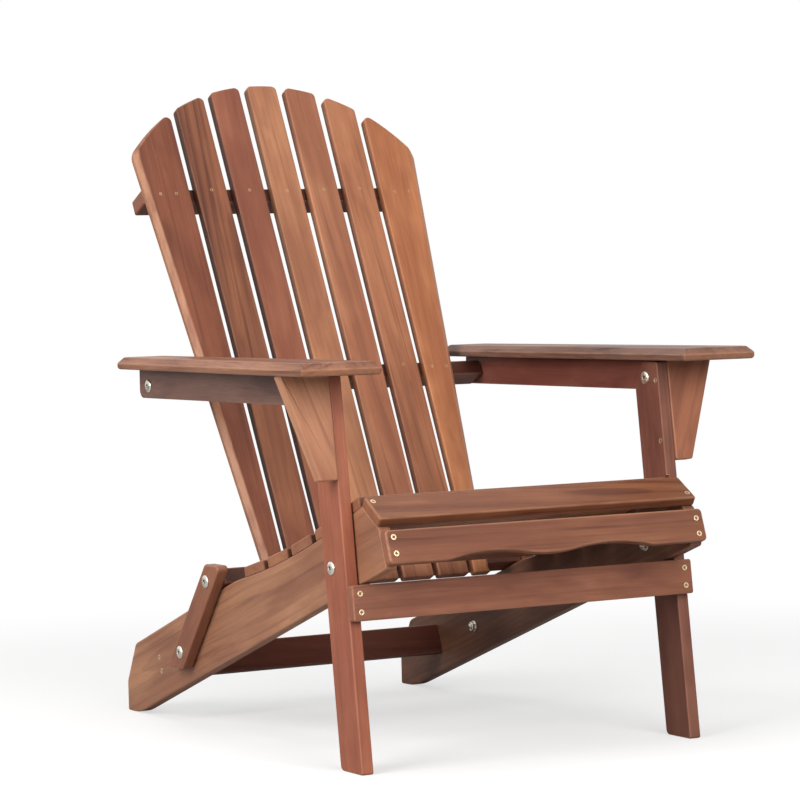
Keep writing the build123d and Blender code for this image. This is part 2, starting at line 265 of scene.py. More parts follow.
def new_material(name: str) -> tuple[bpy.types.Material, Graph, bpy.types.Node]:
    """Start a material.

    Args:
        name: the material's name.

    Returns:
        The material, its graph and its shader.
    """
    made = bpy.data.materials.new(name)
    made.use_nodes = True
    return made, Graph(made.node_tree), made.node_tree.nodes["Principled BSDF"]


def put(name: str, data: bpy.types.ID) -> bpy.types.Object:
    """Make an object and link it to the scene.

    Args:
        name: the object's name.
        data: its mesh, lamp or camera.

    Returns:
        The new object.
    """
    made = bpy.data.objects.new(name, data)
    bpy.context.scene.collection.objects.link(made)
    return made


FLOAT = "NodeSocketFloat"
VECTOR = "NodeSocketVector"
COLOUR = "NodeSocketColor"


def sawn_grain_group() -> bpy.types.NodeTree:
    """Solid grain of a sawn board, the same on every face that cuts it.

    Growth rings are circles about the pith, which runs along the board at y = z = 0: the distance from
    it, bent by slow noise, is divided by the ring width, and each ring darkens slowly towards its late
    wood, more in some places than in others. Streaks, veins, fibres and pores are noise drawn out along
    the board, patches and blotches of stain are slow noise, and knots are the middles of large cells.

    Returns:
        The group, which puts out masks from 0 to 1.
    """
    names = ("Late wood", "Streak", "Vein", "Blotch", "Patch", "Fibre", "Pore", "Knot")
    graph, given, shown = shader_group(
        "sawn_grain", {"Place": VECTOR, "Ring width": FLOAT}, {name: FLOAT for name in names}
    )
    place = given["Place"]

    wander = graph.noise(place, (1.3, 5.0, 5.0), 2.0).outputs["Color"]
    bend = graph.vector("SUBTRACT", wander, (0.5, 0.5, 0.5))
    bend = graph.vector("MULTIPLY", bend, (0.0, 0.045, 0.045))
    split = graph.node("ShaderNodeSeparateXYZ", graph.vector("ADD", place, bend))
    squares = [graph.math("MULTIPLY", out, out) for out in split.outputs[1:]]
    reach = graph.math("SQRT", graph.math("ADD", *squares))
    years = graph.math("DIVIDE", reach, given["Ring width"])
    flutter = graph.noise(place, (5.0, 50.0, 50.0), 2.0).outputs[0]
    season = graph.math("FRACT", graph.math("ADD", years, graph.math("MULTIPLY", flutter, 0.35)))
    line = graph.math("MULTIPLY", graph.span(season, 0.3, 0.9), graph.span(season, 0.92, 1.0, 1.0, 0.0))
    strength = graph.span(graph.noise(place, (2.2, 12.0, 12.0), 1.0).outputs[0], 0.36, 0.64, 0.15, 1.0)
    graph.feed(shown["Late wood"], graph.math("MULTIPLY", line, strength))

    for name, stretch, detail, rough, low, high in (
        ("Streak", (1.1, 27.0, 27.0), 3.0, 0.56, 0.34, 0.67),
        ("Vein", (2.4, 120.0, 120.0), 3.0, 0.6, 0.52, 0.74),
        ("Blotch", (6.0, 17.0, 17.0), 3.0, 0.6, 0.48, 0.74),
        ("Patch", (5.0, 15.0, 15.0), 3.0, 0.55, 0.36, 0.64),
        ("Fibre", (14.0, 380.0, 380.0), 3.0, 0.6, 0.3, 0.7),
        ("Pore", (32.0, 620.0, 620.0), 1.0, 0.5, 0.58, 0.68),
    ):
        graph.feed(shown[name], graph.span(graph.noise(place, stretch, detail, rough).outputs[0], low, high))
    spread = graph.vector("MULTIPLY", place, (2.6, 15.0, 15.0))
    cells = graph.fill(graph.node("ShaderNodeTexVoronoi"), {"Vector": spread, "Scale": 1.0})
    graph.feed(shown["Knot"], graph.span(cells.outputs["Distance"], 0.02, 0.1, 1.0, 0.0))
    return graph.tree


def arris_wear_and_highlight_group() -> bpy.types.NodeTree:
    """Paler colour along the arrises, partly sanded-off stain and partly a painted highlight, paler stain
    where the face is scuffed, and a different take-up on sawn ends.

    The arris mask is broken up by noise drawn out along the board, and scuffs are the peaks of a finer one.

    Returns:
        The group, which puts out the colour.
    """
    graph, given, shown = shader_group(
        "arris_wear_and_highlight",
        {"Place": VECTOR, "Arris": FLOAT, "Sawn end": FLOAT, "Stain": COLOUR, "Wear and highlight colour": COLOUR,
         "End stain": COLOUR, "Wear and highlight": FLOAT, "End share": FLOAT},
        {"Colour": COLOUR},
    )
    # Arris mask: sanded-off stain and a painted highlight together; scuffs are real wear
    broken = graph.noise(given["Place"], (22.0, 90.0, 90.0), 3.0).outputs[0]
    broken_wear_and_highlight = graph.math("MULTIPLY", given["Wear and highlight"], graph.span(broken, 0.25, 0.65, 0.35, 1.0))
    wear_and_highlight = graph.math("MULTIPLY", given["Arris"], broken_wear_and_highlight, clamp=True)
    scuff = graph.noise(given["Place"], (70.0, 190.0, 190.0), 2.0).outputs[0]
    wear_and_highlight = graph.math("MAXIMUM", wear_and_highlight, graph.span(scuff, 0.68, 0.8, 0.0, 0.1))
    taken = graph.math("MULTIPLY", given["Sawn end"], given["End share"], clamp=True)
    ends = graph.mix(taken, given["Stain"], given["End stain"])
    graph.feed(shown["Colour"], graph.mix(wear_and_highlight, ends, given["Wear and highlight colour"]))
    return graph.tree


@dataclass(frozen=True)
class StainedWood:
    """Stained softwood with a satin finish.

    The colour runs from body to pale with the patches and fibres, darkens with late wood, streaks, veins,
    blotches, pores and knots, and is then multiplied by the board's tint, which holds painted light and
    shade besides its tone. Its arrises are then paled, partly as sanded-off stain and partly as a painted
    highlight.
    """

    name: str
    body: Colour
    pale: Colour
    dark: Colour
    # Pale colour of the arrises, for sanded-off stain and the painted highlight along them
    edge_wear_and_highlight: Colour
    end_stain: Colour
    patch_pale: float = 0.75
    fibre_pale: float = 0.25
    ring_width: float = 8.0 * MM
    ring_share: float = 0.28
    streak_share: float = 0.42
    vein_share: float = 0.36
    blotch_share: float = 0.5
    pore_share: float = 0.2
    knot_share: float = 0.45
    wear_and_highlight: float = 0.34
    end_share: float = 0.5
    sheen: float = 0.22
    smooth: float = 0.42
    rough: float = 0.6
    streak_rough: float = 0.5
    pore_rough: float = 0.5
    relief: float = 0.16
    relief_depth: float = 0.5 * MM
    late_height: float = 0.4
    fibre_height: float = 0.5
    pore_depth: float = 0.6

    def material(self, grain: bpy.types.NodeTree, arris: bpy.types.NodeTree) -> bpy.types.Material:
        """Make the material, which reads the boards' attributes.

        Args:
            grain: the sawn grain group.
            arris: the rubbed arris group.

        Returns:
            The new material.
        """
        made, graph, shader = new_material(self.name)
        place = graph.attribute("place", "Vector")
        wood = graph.node("ShaderNodeGroup", place, self.ring_width, node_tree=grain)
        late, streak, vein, blotch, patch, fibre, pore, knot = wood.outputs

        paleness = graph.math("MULTIPLY", fibre, self.fibre_pale)
        paleness = graph.math("MULTIPLY_ADD", patch, self.patch_pale, paleness)
        ground = graph.mix(paleness, rgba(self.body), rgba(self.pale))
        shades = graph.math("MULTIPLY", streak, self.streak_share)
        for mask, share in ((late, self.ring_share), (vein, self.vein_share)):
            shades = graph.math("MULTIPLY_ADD", mask, share, shades)
        darkness = graph.math("MULTIPLY", graph.attribute("figure", "Fac"), shades, clamp=True)
        for mask, share in ((blotch, self.blotch_share), (pore, self.pore_share), (knot, self.knot_share)):
            darkness = graph.math("MAXIMUM", darkness, graph.math("MULTIPLY", mask, share))
        figured = graph.mix(darkness, ground, rgba(self.dark))
        toned = graph.vector("MULTIPLY", figured, graph.attribute("tint", "Vector"))

        # Arrises paled: sanded-off stain with a painted highlight
        edge_wear_and_highlight = graph.fill(graph.node("ShaderNodeGroup", node_tree=arris), {
            "Place": place, "Arris": graph.attribute("arris", "Fac"),
            "Sawn end": graph.attribute("sawn_end", "Fac"), "Stain": toned, "Wear and highlight": self.wear_and_highlight,
            "Wear and highlight colour": rgba(self.edge_wear_and_highlight), "End stain": rgba(self.end_stain), "End share": self.end_share,
        })
        uneven = graph.math("MULTIPLY", pore, self.pore_rough)
        uneven = graph.math("MULTIPLY_ADD", streak, self.streak_rough, uneven)
        raised = graph.math("MULTIPLY", fibre, self.fibre_height)
        raised = graph.math("MULTIPLY_ADD", late, self.late_height, raised)
        height = graph.math("SUBTRACT", raised, graph.math("MULTIPLY", pore, self.pore_depth))
        bump = graph.fill(graph.node("ShaderNodeBump"), {
            "Strength": self.relief, "Distance": self.relief_depth, "Height": height,
        })
        graph.fill(shader, {
            "Base Color": edge_wear_and_highlight.outputs[0], "Specular IOR Level": self.sheen, "Normal": bump.outputs[0],
            "Roughness": graph.span(uneven, 0.0, 1.0, self.smooth, self.rough),
        })
        return made


@dataclass(frozen=True)
class PlatedMetal:
    """Zinc plating, mottled, with painted shade in the recesses that a driver goes in."""

    name: str
    plate: Colour
    tarnish: Colour
    # Colour of the painted shade in the recesses
    recess: Colour
    smooth: float = 0.22
    rough: float = 0.42
    mottle: Triple = (160.0, 160.0, 160.0)
    recess_rough: float = 0.25

    def material(self) -> bpy.types.Material:
        """Make the material, which reads the pieces' recess attribute.

        Returns:
            The new material.
        """
        made, graph, shader = new_material(self.name)
        place = graph.node("ShaderNodeTexCoord").outputs["Object"]
        cloud = graph.noise(place, self.mottle, 3.0).outputs[0]
        mottled = graph.mix(graph.span(cloud, 0.35, 0.7), rgba(self.plate), rgba(self.tarnish))
        # Painted shade: the recess mask darkens the colour towards the recess colour and roughens it
        sunk = graph.attribute("recess", "Fac")
        dull = graph.span(cloud, 0.3, 0.75, self.smooth, self.rough)
        graph.fill(shader, {
            "Base Color": graph.mix(sunk, mottled, rgba(self.recess)), "Metallic": 1.0,
            "Roughness": graph.math("ADD", dull, graph.math("MULTIPLY", sunk, self.recess_rough)),
        })
        return made


def soft_corners(points: Array, trims: Array, steps: int) -> Array:
    """Round every corner of closed polygons with circular arcs.

    An arc leaves each side at its trim's distance from the corner. It is the rational curve of three
    points (side, corner, side) whose middle weight is the cosine of half the turn, which is a circle.

    Args:
        points: corners in order, as (..., n, 2).
        trims: distance from each corner to its arc's ends, as (..., n).
        steps: points on each arc.

    Returns:
        Points of the rounded polygons, as (..., n * steps, 2).
    """
    before = unit(points - np.roll(points, 1, axis=-2))
    after = unit(np.roll(points, -1, axis=-2) - points)
    weight = np.sqrt(np.clip((1 + (before * after).sum(-1)) / 2, LEAST_WEIGHT, 1))[..., None, None]
    start = (points - before * trims[..., None])[..., None, :]
    end = (points + after * trims[..., None])[..., None, :]
    share = np.linspace(0, 1, steps)[:, None]
    a, b, c = (1 - share) ** 2, 2 * share * (1 - share), share**2
    arcs = (a * start + b * weight * points[..., None, :] + c * end) / (a + b * weight + c)
    return arcs.reshape(*points.shape[:-2], -1, 2)


def unit(vectors: Array) -> Array:
    """Vectors of the same directions, one long."""
    return vectors / np.maximum(np.linalg.norm(vectors, axis=-1, keepdims=True), TINY)


def ring_mesh(name: str, rows: Array, looped: bool, attributes: dict[str, Array]) -> bpy.types.Object:
    """Make a piece from rings of points, each joined to the next by four-sided faces.

    Args:
        name: the piece's name.
        rows: ring points as (tubes, rings, around, 3), each tube a separate closed surface.
        looped: whether the last ring joins the first, or else both ends are closed by a flat face.
        attributes: numbers (tubes, rings, around) or vectors (tubes, rings, around, 3) by name.

    Returns:
        The new object, smooth shaded with its flat faces kept flat.
    """
    tubes, rings, around = rows.shape[:3]
    index = np.arange(tubes * rings * around).reshape(tubes, rings, around)
    lower = index if looped else index[:, :-1]
    upper = np.roll(index, -1, axis=1) if looped else index[:, 1:]
    quads = np.stack(
        (lower, np.roll(lower, -1, axis=2), np.roll(upper, -1, axis=2), upper), axis=-1
    ).reshape(-1, 4)
    faces = quads.tolist()
    if not looped:
        faces += index[:, 0, ::-1].tolist() + index[:, -1].tolist()
    mesh = bpy.data.meshes.new(name)
    mesh.from_pydata(rows.reshape(-1, 3), [], faces)
    for label, values in attributes.items():
        vector = values.ndim == 4
        layer = mesh.attributes.new(label, "FLOAT_VECTOR" if vector else "FLOAT", "POINT")
        layer.data.foreach_set("vector" if vector else "value", values.astype(np.float32).ravel())
    mesh.polygons.foreach_set("use_smooth", np.ones(len(mesh.polygons), dtype=bool))
    mesh.update()
    piece = put(name, mesh)
    piece.modifiers.new("flat_faces", "WEIGHTED_NORMAL").keep_sharp = True
    return piece


def node_triangles(node: str) -> Array:
    """Read the triangles of a frame node.

    Args:
        node: the node's name.

    Returns:
        Their corners, as (n, 3, 3).
    """
    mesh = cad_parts[node].data
    mesh.calc_loop_triangles()
    places = np.empty(len(mesh.vertices) * 3, dtype=np.float32)
    mesh.vertices.foreach_get("co", places)
    corners = np.empty(len(mesh.loop_triangles) * 3, dtype=np.int32)
    mesh.loop_triangles.foreach_get("vertices", corners)
    return places.astype(float).reshape(-1, 3)[corners.reshape(-1, 3)]


def chain(succession: Array, lengths: Array) -> Array:
    """Put the segments of the longest closed chain in order.

    Each pass doubles how far a segment looks ahead, so the chains' labels and the steps to go until the
    chain's first segment are found in a few passes over whole arrays.

    Args:
        succession: for each segment, the one that follows it.
        lengths: each segment's length.

    Returns:
        Indices of the chain's segments in order.
    """
    count = len(succession)
    passes = range(count.bit_length())
    label, ahead = np.arange(count), succession
    for _ in passes:
        label = np.minimum(label, label[ahead])
        ahead = ahead[ahead]
    first = np.bincount(label, weights=lengths).argmax()
    last = succession == first
    steps = np.where(last, 0, 1)
    ahead = np.where(last, np.arange(count), succession)
    for _ in passes:
        steps = steps + steps[ahead]
        ahead = ahead[ahead]
    members = np.flatnonzero(label == first)
    return members[np.argsort(-steps[members])]


@dataclass
class Board:
    """One sawn board, drawn from a section of its frame node.

    The section is level with the board's face, at a share of the half thickness from its middle. Its
    outline is carried round an edge profile: each point of the profile has an inset from the outline and
    a height through the board. The tint sets the board's tone, with painted light and shade for several
    boards, the figure how strong its grain is, side_pale how much paler its sides are, and the two shade
    settings how much shade is painted on its sides, in the gaps between boards, and on its upper face.
    """

    node: str
    body: Body
    slot: Slot
    # The board's tone; for several boards it also holds painted light and shade
    tint: Colour = (1.0, 1.0, 1.0)
    figure: float = 1.0
    side_pale: float = 0.0
    # Painted shade on the sides, where they face the gaps between boards, and on the upper face
    painted_side_shade: float = 0.0
    painted_upper_shade: float = 0.0
    radius: float = 2.2 * MM
    corner: float = 3.0 * MM
    section: float = 0.0
    lay: Lay = Lay.FLAT
    arris: Arris = Arris.ROUNDED
    bevel: float = 9.0 * MM
    bevel_radius: float = 2.5 * MM
    bevel_way: float = 0.0
    steps: int = 4
    axes: Array = field(init=False)
    middle: Array = field(init=False)
    half: Array = field(init=False)

    # Limits for reading the outline, and shares for rounding and bevelling it
    sharp_turn: float = math.radians(24)
    least_turn: float = math.radians(0.2)
    least_side: float = 0.02 * MM
    least_corner: float = 0.3 * MM
    sharp_room: float = 0.45
    arc_room: float = 0.49
    rim: float = 0.5 * MM
    facing: tuple[float, float] = (0.6, 0.95)
    plain_share: float = 0.6
    bevel_room: float = 0.4
    end_power: int = 3

    def __post_init__(self) -> None:
        """Find the board's directions, middle and half sizes from its node."""
        corners = node_triangles(self.node)
        areas = np.cross(corners[:, 1] - corners[:, 0], corners[:, 2] - corners[:, 0])
        size = np.maximum(np.linalg.norm(areas, axis=1), TINY_AREA)
        looks = np.linalg.eigh(np.einsum("ni,nj->ij", areas, areas / size[:, None]))[1]
        face = looks[:, -self.lay.value]
        face = face * np.sign(face @ UPPER_WAY)
        centres = corners.mean(axis=1)
        flat = centres - np.average(centres, axis=0, weights=size)
        flat = flat - np.outer(flat @ face, face)
        grain = np.linalg.eigh(np.einsum("n,ni,nj->ij", size, flat, flat))[1][:, -1]
        grain = grain * np.sign(grain[np.abs(grain).argmax()])
        self.axes = np.stack((grain, np.cross(face, grain), face))
        local = corners.reshape(-1, 3) @ self.axes.T
        low, high = local.min(axis=0), local.max(axis=0)
        self.middle = (low + high) / 2 @ self.axes
        self.half = (high - low) / 2

    def at(self, along: float, across: float, through: float) -> Array:
        """World place of a point given in the board's own directions, from its middle."""
        return self.middle + np.array((along, across, through)) @ self.axes

    def outline(self) -> Array:
        """Outline of the board's section, counter-clockwise seen from its face.

        Every triangle that crosses the section gives a segment, from where its lone corner's first edge
        crosses to where its second does, and the segments are put in order end to end.

        Returns:
            Corners as (n, 2), along and across.
        """
        local = (node_triangles(self.node) - self.middle) @ self.axes.T
        local[..., 2] -= self.section * self.half[2]
        above = local[..., 2] > 0
        crossing = above.any(axis=1) & ~above.all(axis=1)
        local, above = local[crossing], above[crossing]
        lone_above = above.sum(axis=1) == 1
        lone = np.where(lone_above, above.argmax(axis=1), (~above).argmax(axis=1))
        turn = (lone[:, None] + np.arange(3)) % 3
        local = np.take_along_axis(local, turn[..., None], axis=1)
        depth = local[..., 2]
        share = depth[:, :1] / (depth[:, :1] - depth[:, 1:])
        ends = local[:, :1, :2] + share[..., None] * (local[:, 1:, :2] - local[:, :1, :2])
        ends = np.where(lone_above[:, None, None], ends, ends[:, ::-1])
        gaps = np.linalg.norm(ends[:, None, 1] - ends[None, :, 0], axis=-1)
        points = ends[chain(gaps.argmin(axis=1), np.linalg.norm(ends[:, 1] - ends[:, 0], axis=1)), 0]
        points = points[np.linalg.norm(np.roll(points, -1, axis=0) - points, axis=1) > self.least_side]
        return points[np.abs(self.turns(points)) > self.least_turn]

    @staticmethod
    def turns(points: Array) -> Array:
        """How far a closed outline turns at each of its corners.

        Args:
            points: the outline's corners in order.

        Returns:
            Angles in radians, positive to the left.
        """
        before = unit(points - np.roll(points, 1, axis=0))
        after = unit(np.roll(points, -1, axis=0) - points)
        cross = before[:, 0] * after[:, 1] - before[:, 1] * after[:, 0]
        return np.arctan2(cross, (before * after).sum(axis=1))

    def profile(self, bevel: float, pale: float) -> tuple[Array, Array, Array]:
        """Edge profile from the lower face round to the upper one.

        Args:
            bevel: width of the bevel on the upper arris, or 0 for a rounded one.
            pale: how much paler the side and the bevel are: sanded-off stain, and on the right front leg a
                painted sheen.

        Returns:
            Insets, heights and how much paler each point is: up to 1 on a rounded arris, as sanded-off stain
            with a painted highlight, and as much as pale says on the side and the bevel.
        """
        half = self.half[2]
        if bevel:
            deep = bevel + min(self.bevel_radius, bevel)
            path = np.array(((deep, -half), (0, -half), (0, half - bevel), (bevel, half), (deep, half)))
            soft = min(self.bevel_radius * math.tan(math.pi / 8), self.bevel_room * bevel)
            trims = np.array((self.radius, soft, soft))
        else:
            deep = self.radius + self.rim
            path = np.array(((deep, -half), (0, -half), (0, half), (deep, half)))
            trims = np.array((self.radius, self.radius))
        steps = self.steps + 2
        arcs = soft_corners(path, np.concatenate(((0,), trims, (0,))), steps)[steps:-steps]
        # Painted highlight with sanded-off stain, strongest mid-way round each arc
        wear_and_highlight_mask = np.tile(np.sin(np.linspace(0, np.pi, steps)), len(trims))
        wear_and_highlight_mask = np.maximum(wear_and_highlight_mask, pale * np.clip(1 + (bevel - arcs[:, 0]) / self.radius, 0, 1))
        points = np.concatenate((path[:1], arcs, path[-1:]))
        return points[:, 0], points[:, 1], np.concatenate(((0,), wear_and_highlight_mask, (0,)))

    def carry(self, points: Array, bevel: float, pale: float) -> tuple[Array, Array, Array]:
        """Carry the outline round an edge profile.

        The outline is moved in by each inset along the mean of its sides' normals, divided by one plus
        their product, and its corners are then rounded: the node's own arcs from side to side, and sharp
        corners to a radius that shrinks with the inset.

        Args:
            points: the outline.
            bevel: width of the bevel on the upper arris, or 0 for a rounded one.
            pale: how much paler the side and the bevel are.

        Returns:
            Points as (rings, n, 3), how much paler each point is, as sanded-off stain with a painted
            highlight, and how near the edge each point is.
        """
        sharp = np.abs(self.turns(points)) > self.sharp_turn
        after = unit(np.roll(points, -1, axis=0) - points)
        normal = np.stack((-after[:, 1], after[:, 0]), axis=1)
        ahead = np.roll(normal, 1, axis=0)
        mitre = (normal + ahead) / (1 + (normal * ahead).sum(axis=1, keepdims=True))
        insets, heights, wear_and_highlight_mask = self.profile(bevel, pale)
        rings = points + insets[:, None, None] * mitre
        sides = np.linalg.norm(np.roll(rings, -1, axis=1) - rings, axis=-1)
        room = np.minimum(sides, np.roll(sides, 1, axis=1))
        radius = np.maximum(self.corner - insets, self.least_corner)[:, None]
        trims = np.minimum(radius * np.tan(np.abs(self.turns(points)) / 2), self.sharp_room * room)
        trims = np.where(sharp, trims, self.arc_room * room)
        flat = soft_corners(rings, trims, self.steps)
        shape = flat.shape[:2]
        local = np.concatenate((flat, np.broadcast_to(heights[:, None, None], (*shape, 1))), axis=2)
        edge = np.clip(1 - insets / self.radius, 0, 1)
        return local, np.broadcast_to(wear_and_highlight_mask[:, None], shape), np.broadcast_to(edge[:, None], shape)

    def build(self, rng: np.random.Generator) -> bpy.types.Object:
        """Make the board's mesh, with its attributes, and put it on its body.

        A bevel along one side alone is a blend: points whose outline faces that way take the bevelled
        profile's place, and the others that of a narrow bevel.

        Args:
            rng: source of the place in the log that the board is cut from.

        Returns:
            The new piece.
        """
        points = self.outline()
        bevel = 0.0 if self.arris is Arris.ROUNDED else self.bevel
        local, wear_and_highlight_mask, edge = self.carry(points, bevel, self.side_pale)
        ring = local[edge[:, 0].argmax(), :, :2]
        side = unit(np.roll(ring, -1, axis=0) - np.roll(ring, 1, axis=0))
        ends = np.abs(side[:, 1]) ** self.end_power
        # Painted shade: the sides darken, less towards the sawn ends, and so does the upper face
        upper = np.clip(1 + (local[..., 2] - self.half[2]) / self.radius, 0, 1)
        dark = np.maximum(self.painted_side_shade * edge * (1 - ends), self.painted_upper_shade * upper)
        if self.arris is Arris.BEVELLED_SIDE:
            normal = np.stack((side[:, 1], -side[:, 0]), axis=1)
            outward = normal @ (self.axes[:2] @ (self.bevel_way, 0.0, 0.0))
            none, full = self.facing
            share = np.clip((outward - none) / (full - none), 0, 1)
            plain, plain_wear_and_highlight_mask, edge = self.carry(points, self.plain_share * self.radius, 0.0)
            dark = dark * (1 - share)
            local = plain + share[:, None] * (local - plain)
            wear_and_highlight_mask = plain_wear_and_highlight_mask + share * (wear_and_highlight_mask - plain_wear_and_highlight_mask)
        rows = (self.middle + local @ self.axes)[None]

        log_place = np.array([rng.uniform(low, high) for low, high in LOG_REACH])
        shape = rows.shape[:3]
        piece = ring_mesh(f"{self.node}_board", rows, False, {
            "place": local[None] + log_place,
            # The tint, darkened by the painted shade on the sides and the upper face
            "tint": ((1 - dark)[..., None] * self.tint)[None],
            "figure": np.full(shape, self.figure),
            "arris": wear_and_highlight_mask[None],
            "sawn_end": (ends * edge)[None],
        })
        return settle(piece, self.body, self.slot, self.node)


def settle(piece: bpy.types.Object, body: Body, slot: Slot, *nodes: str) -> bpy.types.Object:
    """Put a piece on its body and hide the frame nodes it stands for.

    Args:
        piece: the finished piece.
        body: the body it rides on.
        slot: the record's finish slot; not used.
        nodes: frame nodes that it replaces, if any.

    Returns:
        The piece.
    """
    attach(piece, body.value)
    if nodes:
        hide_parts(*nodes)
    return piece


class Row(NamedTuple):
    """A row of a turned profile: how far out and up, how six-sided, and how deep in the recess, which sets
    the painted shade there.
    """

    radius: float
    height: float
    hexed: float = 0.0
    recess: float = 0.0


@dataclass(frozen=True)
class Turning:
    """A small part that is round or six-sided about its axis.

    The radius at an angle is the circle's blended with that of the hexagon about it, which is the
    circle's over the cosine of the angle from the middle of a flat.
    """

    profile: tuple[Row, ...]
    looped: bool = False
    around: int = 36
    steep: float = 0.8

    def build(self, name: str, places: Array, ways: Array, turns: Array) -> bpy.types.Object:
        """Make one piece of equal parts at several places.

        Args:
            name: the piece's name.
            places: where the axes start, as (n, 3).
            ways: outward unit directions of the axes, as (n, 3).
            turns: angle of each part about its axis, in radians, as (n,).

        Returns:
            The new piece.
        """
        radius, height, hexed, recess = np.array(self.profile).T[:, :, None]
        angle = np.linspace(0, 2 * np.pi, self.around, endpoint=False)
        from_flat = (angle + np.pi / 6) % (np.pi / 3) - np.pi / 6
        reach = radius * (1 - hexed + hexed / np.cos(from_flat))
        rings = np.broadcast_arrays(reach, height, recess)
        return self.place(name, angle, *rings, places, ways, turns)

    def place(self, name: str, angle: Array, reach: Array, lift: Array, recess: Array,
              places: Array, ways: Array, turns: Array) -> bpy.types.Object:
        """Turn rings of radii and heights about each axis.

        Args:
            name: the piece's name.
            angle: angles round the axis, as (around,).
            reach: radii, as (rings, around).
            lift: heights along the axis, as (rings, around).
            recess: the mask of the painted shade in the recess, as (rings, around).
            places: where the axes start, as (n, 3).
            ways: outward unit directions of the axes, as (n, 3).
            turns: angle of each part about its axis, as (n,).

        Returns:
            The new piece.
        """
        guide = np.where(np.abs(ways[:, 2:]) < self.steep, (0.0, 0.0, 1.0), (0.0, 1.0, 0.0))
        first = unit(np.cross(guide, ways))
        second = np.cross(ways, first)
        spun = angle + turns[:, None]
        round_about = np.cos(spun)[..., None] * first[:, None] + np.sin(spun)[..., None] * second[:, None]
        rows = (places[:, None, None] + reach[None, ..., None] * round_about[:, None]
                + lift[None, ..., None] * ways[:, None, None])
        return ring_mesh(name, rows, self.looped, {"recess": np.broadcast_to(recess, rows.shape[:3])})


def dome_rows(radius: float, flat: float, low: float, high: float, count: int = 7) -> list[Row]:
    """Rows of a low dome, a quarter ellipse from its rim to a flat in its middle.

    Args:
        radius: at the rim.
        flat: radius of the flat.
        low: height of the rim.
        high: height of the flat.
        count: number of rows.

    Returns:
        Profile rows for a turning.
    """
    swing = np.linspace(0, np.pi / 2, count)
    return [Row(flat + (radius - flat) * math.cos(a), low + (high - low) * math.sin(a)) for a in swing]


def both_sides(across: float, rest: tuple[float, float] | Array = (0.0, 0.0)) -> Array:
    """A place or direction, given by its x on the right and its y and z, on the left and on the right."""
    return np.array([(side * across, *rest) for side in SIDES])


@dataclass
class BoltSet:
    """The two button-headed bolts of one pivot, drawn where their frame node is."""

    node: str
    body: Body
    outward: float = 1.0
    head_radius: float = 9.5 * MM
    head_height: float = 3.0 * MM
    rim_height: float = 0.6 * MM
    dome_flat: float = 4.0 * MM
    shank_radius: float = 4.0 * MM
    socket_flat: float = 2.5 * MM
    socket_depth: float = 2.2 * MM
    tip: float = 0.4 * MM
    tail_ease: float = 0.6 * MM
    driven: tuple[float, float] = (0.35, 1.1)
    washer_radius: float = 10.5 * MM

    def axis(self) -> tuple[Array, float, float]:
        """The right-hand bolt's side-view place, its head's seat and its tail, across the chair.

        Returns:
            Place (y, z), seat and tail.
        """
        places = node_triangles(self.node).reshape(-1, 3)
        right = places[places[:, 0] > 0]
        low, high = right.min(axis=0), right.max(axis=0)
        inner, outer = (low[0], high[0]) if self.outward > 0 else (high[0], low[0])
        return (low[1:] + high[1:]) / 2, outer - self.outward * self.head_height, inner

    def build(self) -> bpy.types.Object:
        """Make both bolts: shank, dome and hexagonal socket in one turned profile.

        Returns:
            The new piece, which stands for the bolts' node.
        """
        place, seat, tail = self.axis()
        length = abs(seat - tail)
        shank, head, top, flat = self.shank_radius, self.head_radius, self.head_height, self.socket_flat
        bottom = top - self.socket_depth
        rows = (
            Row(self.tip, -length),
            Row(shank - self.tail_ease, -length),
            Row(shank, self.tail_ease - length),
            Row(shank, 0.0),
            Row(head - 0.3 * MM, 0.0),
            Row(head, 0.2 * MM),
            *dome_rows(head, self.dome_flat, self.rim_height, top),
            # The socket rows' last value is the mask of the painted shade in the recess
            Row(flat + 0.5 * MM, top, 0.6),
            Row(flat, top - 0.3 * MM, 1.0, 0.6),
            Row(flat, bottom, 1.0, 1.0),
            Row(self.tip, bottom - self.tip, 0.0, 1.0),
        )
        piece = Turning(rows).build(
            f"{self.node}_turned", both_sides(seat, place), both_sides(self.outward), np.array(self.driven))
        return settle(piece, self.body, Slot.METAL, self.node)

    def washers(self, inner_face: float, thickness: float) -> bpy.types.Object:
        """Make the washers between the two boards at the pivot.

        Args:
            inner_face: where each washer starts across the chair, from the middle.
            thickness: how thick they are.

        Returns:
            The new piece.
        """
        place = self.axis()[0]
        hole, rim, soft = self.shank_radius, self.washer_radius, 0.3 * MM
        rows = (
            Row(hole, 0.0), Row(rim - soft, 0.0), Row(rim, soft),
            Row(rim, thickness - soft), Row(rim - soft, thickness), Row(hole, thickness),
        )
        piece = Turning(rows, looped=True).build(
            f"{self.node}_washers", both_sides(inner_face, place), both_sides(1.0), np.zeros(2))
        return settle(piece, self.body, Slot.METAL)


